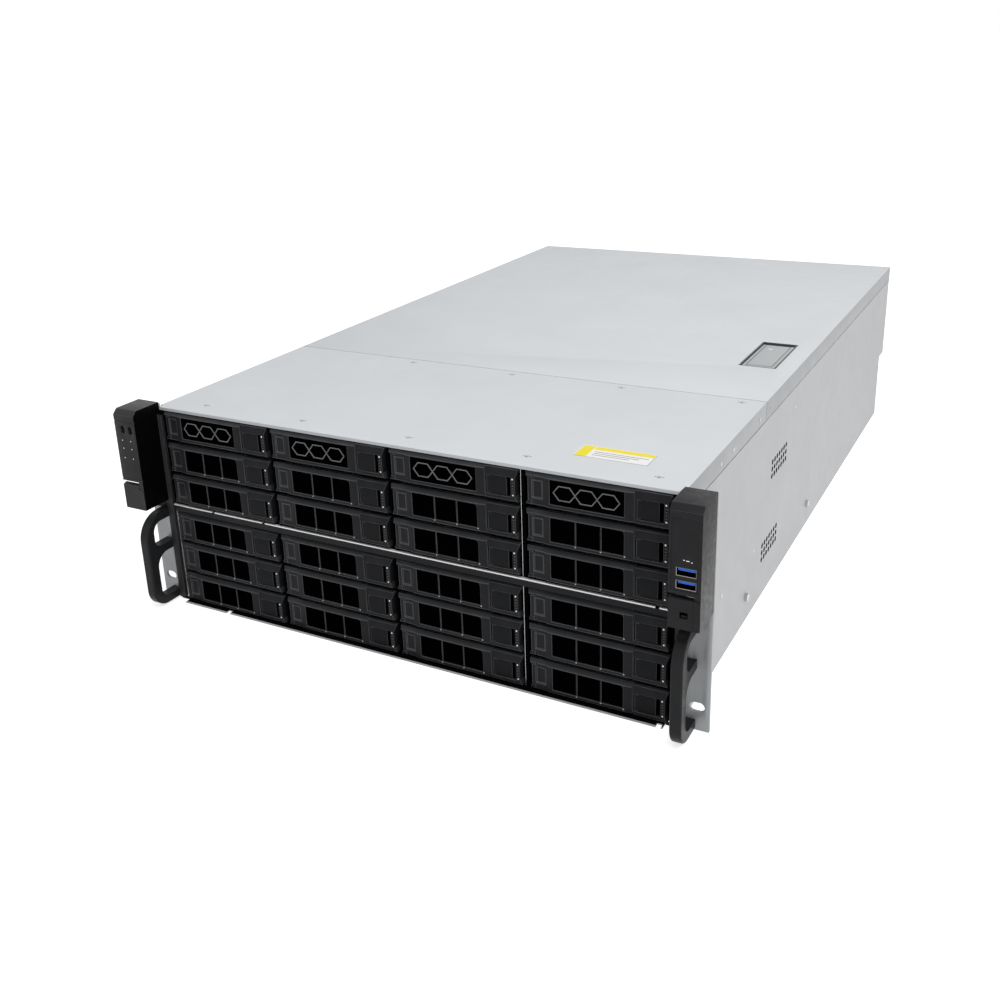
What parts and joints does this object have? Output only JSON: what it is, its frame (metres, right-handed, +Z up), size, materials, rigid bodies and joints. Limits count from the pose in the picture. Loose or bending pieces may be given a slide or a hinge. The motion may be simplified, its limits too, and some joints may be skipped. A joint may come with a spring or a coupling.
{
  "type": "storage server chassis",
  "caption": "Rack storage server chassis with hot-swap drive carriers across its front, rack ears, pull handles and a sliding rear cover.",
  "frame": {"origin": "on the underside, midway between the sides, in the front plane of the rack flanges", "axes": "+X to the right seen from the front, +Y into the depth of the rack, +Z up"},
  "size_m": [0.4828, 0.76, 0.175],
  "materials": {
    "body_paint": "matt light grey coat",
    "zinc_sheet": "zinc coated sheet",
    "flange_steel": "satin",
    "drive_carrier": "black front, cast disk",
    "carrier_front": "fine grain black",
    "black_plastic": "fine grain black",
    "handle_black": "satin black",
    "latch_grey": "satin grey",
    "circuit_board": "solder mask",
    "cooler_fins": "bare",
    "fan_plastic": "moulded black",
    "port_metal": "plated",
    "supply_case": "plain"
  },
  "bodies": {
    "chassis": {"base_tray": "body_paint", "rear_panel": "body_paint", "front_cover": "body_paint", "drive_cage": "zinc_sheet", "shelf_trim": "black_plastic", "backplane": "circuit_board", "fan_wall": "fan_plastic", "mainboard": "circuit_board", "processor_coolers": "cooler_fins", "memory_modules": "circuit_board", "mounting_flanges": "flange_steel", "left_ear": "black_plastic", "right_ear": "black_plastic", "front_handles": "handle_black", "usb_ports": "port_metal", "fasteners": "flange_steel"},
    "rear_cover": {"rear_cover": "body_paint", "latch_pan": "body_paint"},
    "latch_lever": {"latch_lever": "latch_grey"},
    "left_ear_latch": {"left_ear_latch": "black_plastic"},
    "right_ear_latch": {"right_ear_latch": "black_plastic"},
    "power_button": {"power_button": "black_plastic"},
    "reset_button": {"reset_button": "black_plastic"},
    "drive_carrier_r1_c1": {"drive_carrier_r1_c1": "drive_carrier"},
    "drive_carrier_r1_c2": {"drive_carrier_r1_c2": "drive_carrier"},
    "drive_carrier_r1_c3": {"drive_carrier_r1_c3": "drive_carrier"},
    "drive_carrier_r1_c4": {"drive_carrier_r1_c4": "drive_carrier"},
    "drive_carrier_r2_c1": {"drive_carrier_r2_c1": "drive_carrier"},
    "drive_carrier_r2_c2": {"drive_carrier_r2_c2": "drive_carrier"},
    "drive_carrier_r2_c3": {"drive_carrier_r2_c3": "drive_carrier"},
    "drive_carrier_r2_c4": {"drive_carrier_r2_c4": "drive_carrier"},
    "drive_carrier_r3_c1": {"drive_carrier_r3_c1": "drive_carrier"},
    "drive_carrier_r3_c2": {"drive_carrier_r3_c2": "drive_carrier"},
    "drive_carrier_r3_c3": {"drive_carrier_r3_c3": "drive_carrier"},
    "drive_carrier_r3_c4": {"drive_carrier_r3_c4": "drive_carrier"},
    "drive_carrier_r4_c1": {"drive_carrier_r4_c1": "drive_carrier"},
    "drive_carrier_r4_c2": {"drive_carrier_r4_c2": "drive_carrier"},
    "drive_carrier_r4_c3": {"drive_carrier_r4_c3": "drive_carrier"},
    "drive_carrier_r4_c4": {"drive_carrier_r4_c4": "drive_carrier"},
    "drive_carrier_r5_c1": {"drive_carrier_r5_c1": "drive_carrier"},
    "drive_carrier_r5_c2": {"drive_carrier_r5_c2": "drive_carrier"},
    "drive_carrier_r5_c3": {"drive_carrier_r5_c3": "drive_carrier"},
    "drive_carrier_r5_c4": {"drive_carrier_r5_c4": "drive_carrier"},
    "drive_carrier_r6_c1": {"drive_carrier_r6_c1": "drive_carrier"},
    "drive_carrier_r6_c2": {"drive_carrier_r6_c2": "drive_carrier"},
    "drive_carrier_r6_c3": {"drive_carrier_r6_c3": "drive_carrier"},
    "drive_carrier_r6_c4": {"drive_carrier_r6_c4": "drive_carrier"},
    "carrier_lever_c1": {"carrier_lever_c1": "carrier_front"},
    "carrier_button_c1": {"carrier_button_c1": "carrier_front"},
    "carrier_lever_c2": {"carrier_lever_c2": "carrier_front"},
    "carrier_button_c2": {"carrier_button_c2": "carrier_front"},
    "carrier_lever_c3": {"carrier_lever_c3": "carrier_front"},
    "carrier_button_c3": {"carrier_button_c3": "carrier_front"},
    "carrier_lever_c4": {"carrier_lever_c4": "carrier_front"},
    "carrier_button_c4": {"carrier_button_c4": "carrier_front"},
    "power_supply_1": {"power_supply_1": "supply_case"},
    "power_supply_2": {"power_supply_2": "supply_case"},
    "fan_rotor_1": {"fan_rotor_1": "fan_plastic"},
    "fan_rotor_2": {"fan_rotor_2": "fan_plastic"},
    "fan_rotor_3": {"fan_rotor_3": "fan_plastic"}
  },
  "joints": [
    {"name": "drive_carrier_r1_c1_slide", "type": "slide", "parent": "chassis", "child": "drive_carrier_r1_c1", "axis": [0, -1, 0], "range_m": [0, 0.15]},
    {"name": "drive_carrier_r1_c2_slide", "type": "slide", "parent": "chassis", "child": "drive_carrier_r1_c2", "axis": [0, -1, 0], "range_m": [0, 0.15]},
    {"name": "drive_carrier_r1_c3_slide", "type": "slide", "parent": "chassis", "child": "drive_carrier_r1_c3", "axis": [0, -1, 0], "range_m": [0, 0.15]},
    {"name": "drive_carrier_r1_c4_slide", "type": "slide", "parent": "chassis", "child": "drive_carrier_r1_c4", "axis": [0, -1, 0], "range_m": [0, 0.15]},
    {"name": "drive_carrier_r2_c1_slide", "type": "slide", "parent": "chassis", "child": "drive_carrier_r2_c1", "axis": [0, -1, 0], "range_m": [0, 0.15]},
    {"name": "drive_carrier_r2_c2_slide", "type": "slide", "parent": "chassis", "child": "drive_carrier_r2_c2", "axis": [0, -1, 0], "range_m": [0, 0.15]},
    {"name": "drive_carrier_r2_c3_slide", "type": "slide", "parent": "chassis", "child": "drive_carrier_r2_c3", "axis": [0, -1, 0], "range_m": [0, 0.15]},
    {"name": "drive_carrier_r2_c4_slide", "type": "slide", "parent": "chassis", "child": "drive_carrier_r2_c4", "axis": [0, -1, 0], "range_m": [0, 0.15]},
    {"name": "drive_carrier_r3_c1_slide", "type": "slide", "parent": "chassis", "child": "drive_carrier_r3_c1", "axis": [0, -1, 0], "range_m": [0, 0.15]},
    {"name": "drive_carrier_r3_c2_slide", "type": "slide", "parent": "chassis", "child": "drive_carrier_r3_c2", "axis": [0, -1, 0], "range_m": [0, 0.15]},
    {"name": "drive_carrier_r3_c3_slide", "type": "slide", "parent": "chassis", "child": "drive_carrier_r3_c3", "axis": [0, -1, 0], "range_m": [0, 0.15]},
    {"name": "drive_carrier_r3_c4_slide", "type": "slide", "parent": "chassis", "child": "drive_carrier_r3_c4", "axis": [0, -1, 0], "range_m": [0, 0.15]},
    {"name": "drive_carrier_r4_c1_slide", "type": "slide", "parent": "chassis", "child": "drive_carrier_r4_c1", "axis": [0, -1, 0], "range_m": [0, 0.15]},
    {"name": "drive_carrier_r4_c2_slide", "type": "slide", "parent": "chassis", "child": "drive_carrier_r4_c2", "axis": [0, -1, 0], "range_m": [0, 0.15]},
    {"name": "drive_carrier_r4_c3_slide", "type": "slide", "parent": "chassis", "child": "drive_carrier_r4_c3", "axis": [0, -1, 0], "range_m": [0, 0.15]},
    {"name": "drive_carrier_r4_c4_slide", "type": "slide", "parent": "chassis", "child": "drive_carrier_r4_c4", "axis": [0, -1, 0], "range_m": [0, 0.15]},
    {"name": "drive_carrier_r5_c1_slide", "type": "slide", "parent": "chassis", "child": "drive_carrier_r5_c1", "axis": [0, -1, 0], "range_m": [0, 0.15]},
    {"name": "drive_carrier_r5_c2_slide", "type": "slide", "parent": "chassis", "child": "drive_carrier_r5_c2", "axis": [0, -1, 0], "range_m": [0, 0.15]},
    {"name": "drive_carrier_r5_c3_slide", "type": "slide", "parent": "chassis", "child": "drive_carrier_r5_c3", "axis": [0, -1, 0], "range_m": [0, 0.15]},
    {"name": "drive_carrier_r5_c4_slide", "type": "slide", "parent": "chassis", "child": "drive_carrier_r5_c4", "axis": [0, -1, 0], "range_m": [0, 0.15]},
    {"name": "drive_carrier_r6_c1_slide", "type": "slide", "parent": "chassis", "child": "drive_carrier_r6_c1", "axis": [0, -1, 0], "range_m": [0, 0.15]},
    {"name": "drive_carrier_r6_c2_slide", "type": "slide", "parent": "chassis", "child": "drive_carrier_r6_c2", "axis": [0, -1, 0], "range_m": [0, 0.15]},
    {"name": "drive_carrier_r6_c3_slide", "type": "slide", "parent": "chassis", "child": "drive_carrier_r6_c3", "axis": [0, -1, 0], "range_m": [0, 0.15]},
    {"name": "drive_carrier_r6_c4_slide", "type": "slide", "parent": "chassis", "child": "drive_carrier_r6_c4", "axis": [0, -1, 0], "range_m": [0, 0.15]},
    {"name": "carrier_lever_c1_hinge", "type": "hinge", "parent": "drive_carrier_r1_c1", "child": "carrier_lever_c1", "pos_m": [-0.2096, -0.00175, 0.1571], "axis": [0, 0, -1], "range_deg": [0, 55]},
    {"name": "carrier_button_c1_slide", "type": "slide", "parent": "drive_carrier_r1_c1", "child": "carrier_button_c1", "axis": [1, 0, 0], "range_m": [0, 0.003], "stiffness_N_per_m": 300},
    {"name": "carrier_lever_c2_hinge", "type": "hinge", "parent": "drive_carrier_r1_c2", "child": "carrier_lever_c2", "pos_m": [-0.1026, -0.00175, 0.1571], "axis": [0, 0, -1], "range_deg": [0, 55]},
    {"name": "carrier_button_c2_slide", "type": "slide", "parent": "drive_carrier_r1_c2", "child": "carrier_button_c2", "axis": [1, 0, 0], "range_m": [0, 0.003], "stiffness_N_per_m": 300},
    {"name": "carrier_lever_c3_hinge", "type": "hinge", "parent": "drive_carrier_r1_c3", "child": "carrier_lever_c3", "pos_m": [0.0044, -0.00175, 0.1571], "axis": [0, 0, -1], "range_deg": [0, 55]},
    {"name": "carrier_button_c3_slide", "type": "slide", "parent": "drive_carrier_r1_c3", "child": "carrier_button_c3", "axis": [1, 0, 0], "range_m": [0, 0.003], "stiffness_N_per_m": 300},
    {"name": "carrier_lever_c4_hinge", "type": "hinge", "parent": "drive_carrier_r1_c4", "child": "carrier_lever_c4", "pos_m": [0.1134, -0.00175, 0.1571], "axis": [0, 0, -1], "range_deg": [0, 55]},
    {"name": "carrier_button_c4_slide", "type": "slide", "parent": "drive_carrier_r1_c4", "child": "carrier_button_c4", "axis": [1, 0, 0], "range_m": [0, 0.003], "stiffness_N_per_m": 300},
    {"name": "rear_cover_slide", "type": "slide", "parent": "chassis", "child": "rear_cover", "axis": [0, 1, 0], "range_m": [0, 0.013]},
    {"name": "latch_lever_hinge", "type": "hinge", "parent": "rear_cover", "child": "latch_lever", "pos_m": [0.188, 0.3528, 0.1684], "axis": [-1, 0, 0], "range_deg": [0, 75.5]},
    {"name": "left_ear_latch_hinge", "type": "hinge", "parent": "chassis", "child": "left_ear_latch", "pos_m": [-0.231, -0.02575, 0.10985], "axis": [-1, 0, 0], "range_deg": [0, 60]},
    {"name": "right_ear_latch_hinge", "type": "hinge", "parent": "chassis", "child": "right_ear_latch", "pos_m": [0.231, -0.02575, 0.10985], "axis": [-1, 0, 0], "range_deg": [0, 60]},
    {"name": "power_button_press", "type": "slide", "parent": "chassis", "child": "power_button", "axis": [0, 1, 0], "range_m": [0, 0.0012], "stiffness_N_per_m": 500},
    {"name": "reset_button_press", "type": "slide", "parent": "chassis", "child": "reset_button", "axis": [0, 1, 0], "range_m": [0, 0.0012], "stiffness_N_per_m": 500},
    {"name": "power_supply_1_slide", "type": "slide", "parent": "chassis", "child": "power_supply_1", "axis": [0, 1, 0], "range_m": [0, 0.185]},
    {"name": "power_supply_2_slide", "type": "slide", "parent": "chassis", "child": "power_supply_2", "axis": [0, 1, 0], "range_m": [0, 0.185]},
    {"name": "fan_rotor_1_spin", "type": "hinge", "parent": "chassis", "child": "fan_rotor_1", "pos_m": [-0.138, 0.225, 0.086], "axis": [0, 1, 0], "continuous": true},
    {"name": "fan_rotor_2_spin", "type": "hinge", "parent": "chassis", "child": "fan_rotor_2", "pos_m": [0, 0.225, 0.086], "axis": [0, 1, 0], "continuous": true},
    {"name": "fan_rotor_3_spin", "type": "hinge", "parent": "chassis", "child": "fan_rotor_3", "pos_m": [0.138, 0.225, 0.086], "axis": [0, 1, 0], "continuous": true}
  ],
  "couplings": [
    {"joint": "latch_lever_hinge", "follows": "rear_cover_slide", "rad_per_m": 100.7}
  ]
}
